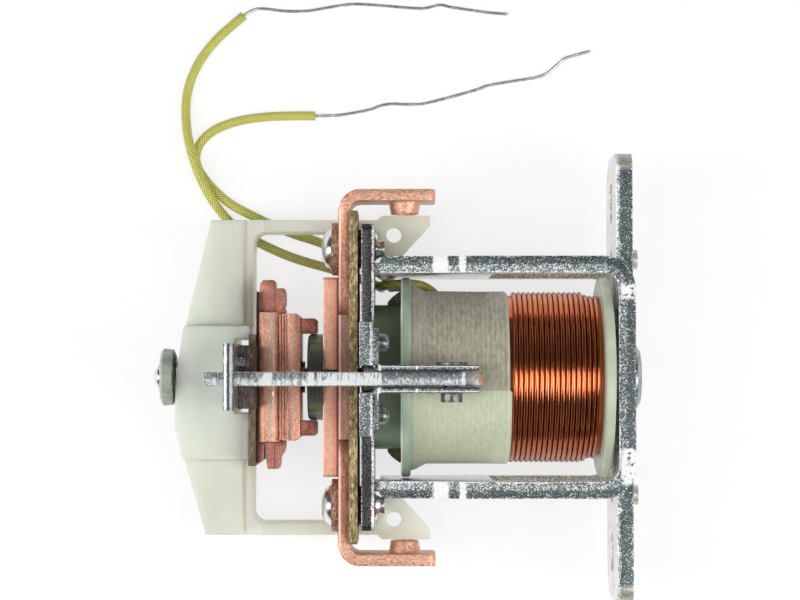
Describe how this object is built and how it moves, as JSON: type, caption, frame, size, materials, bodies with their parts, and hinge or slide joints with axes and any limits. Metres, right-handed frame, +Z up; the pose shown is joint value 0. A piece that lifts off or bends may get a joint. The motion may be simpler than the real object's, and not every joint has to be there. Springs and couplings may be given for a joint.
{
  "type": "starter solenoid",
  "caption": "Open-frame starter solenoid with a bobbin coil, copper double-break contacts on a nylon sliding yoke, a trip lever, slotted mounting ears and flying leads.",
  "frame": {"origin": "centre of the two ear slots, on the plunger axis at the outer face of the yoke's base", "axes": "+X along the plunger towards the mounting face, +Y from the lower to the upper ear, +Z up from the surface that the part lies on, towards the trip lever"},
  "size_m": [0.1001, 0.127, 0.0521],
  "materials": {
    "zinc_plate": "bright zinc plating",
    "steel": "plain dark steel",
    "brass_tube": "drawn brass",
    "bobbin_plastic": "sage green moulding",
    "brown_fibre": "brown vulcanised fibre",
    "fibre_board": "speckled olive fibre board",
    "enamelled_wire": "orange-brown enamelled copper",
    "tape": "varnished woven tape",
    "copper": "bright copper",
    "red_copper": "oxidised copper",
    "nylon": "natural translucent nylon",
    "braided_sleeve": "varnished braided sleeving",
    "tinned_wire": "tinned copper wire"
  },
  "bodies": {
    "frame": {"yoke_frame": "zinc_plate", "fixed_core": "steel", "core_washer": "steel", "guide_tube": "brass_tube", "bobbin": "bobbin_plastic", "flange_insulator": "brown_fibre", "inner_winding": "enamelled_wire", "outer_turns": "enamelled_wire", "tape_wrap": "tape", "pole_plate": "steel", "insulating_plate": "fibre_board", "rivet_bushes": "brown_fibre", "terminal_rivets": "zinc_plate", "rivet_washers": "brown_fibre", "upper_terminal": "copper", "lower_terminal": "copper", "contact_spacer": "brown_fibre", "upper_fixed_contact": "copper", "lower_fixed_contact": "copper", "guide_bush": "bobbin_plastic", "upper_clevis_bracket": "zinc_plate", "lower_clevis_bracket": "zinc_plate", "clevis_rivets": "zinc_plate", "pivot_pin": "steel", "pin_clip": "steel", "return_spring": "steel", "long_lead_sleeve": "braided_sleeve", "long_lead_wire": "tinned_wire", "short_lead_sleeve": "braided_sleeve", "short_lead_wire": "tinned_wire"},
    "slider": {"plunger": "steel", "push_rod": "zinc_plate", "main_leaf": "red_copper", "thin_leaves": "copper", "contact_tips": "red_copper", "contact_bar": "red_copper", "upper_clip": "red_copper", "lower_clip": "red_copper", "backing_shim": "steel", "fibre_backing": "fibre_board", "latch_block": "brown_fibre", "latch_plate": "zinc_plate", "sliding_yoke": "nylon", "buffer_washer": "bobbin_plastic"},
    "lever": {"trip_lever": "zinc_plate"}
  },
  "joints": [
    {"name": "plunger_slide", "type": "slide", "parent": "frame", "child": "slider", "axis": [1, 0, 0], "range_m": [0, 0.0012], "stiffness_N_per_m": 800, "springref_m": -0.003, "deforming": ["return_spring"]},
    {"name": "lever_pivot", "type": "hinge", "parent": "frame", "child": "lever", "pos_m": [-0.0371, -0.0004, 0.0254], "axis": [0, 1, 0], "range_deg": [0, 2.5]}
  ]
}
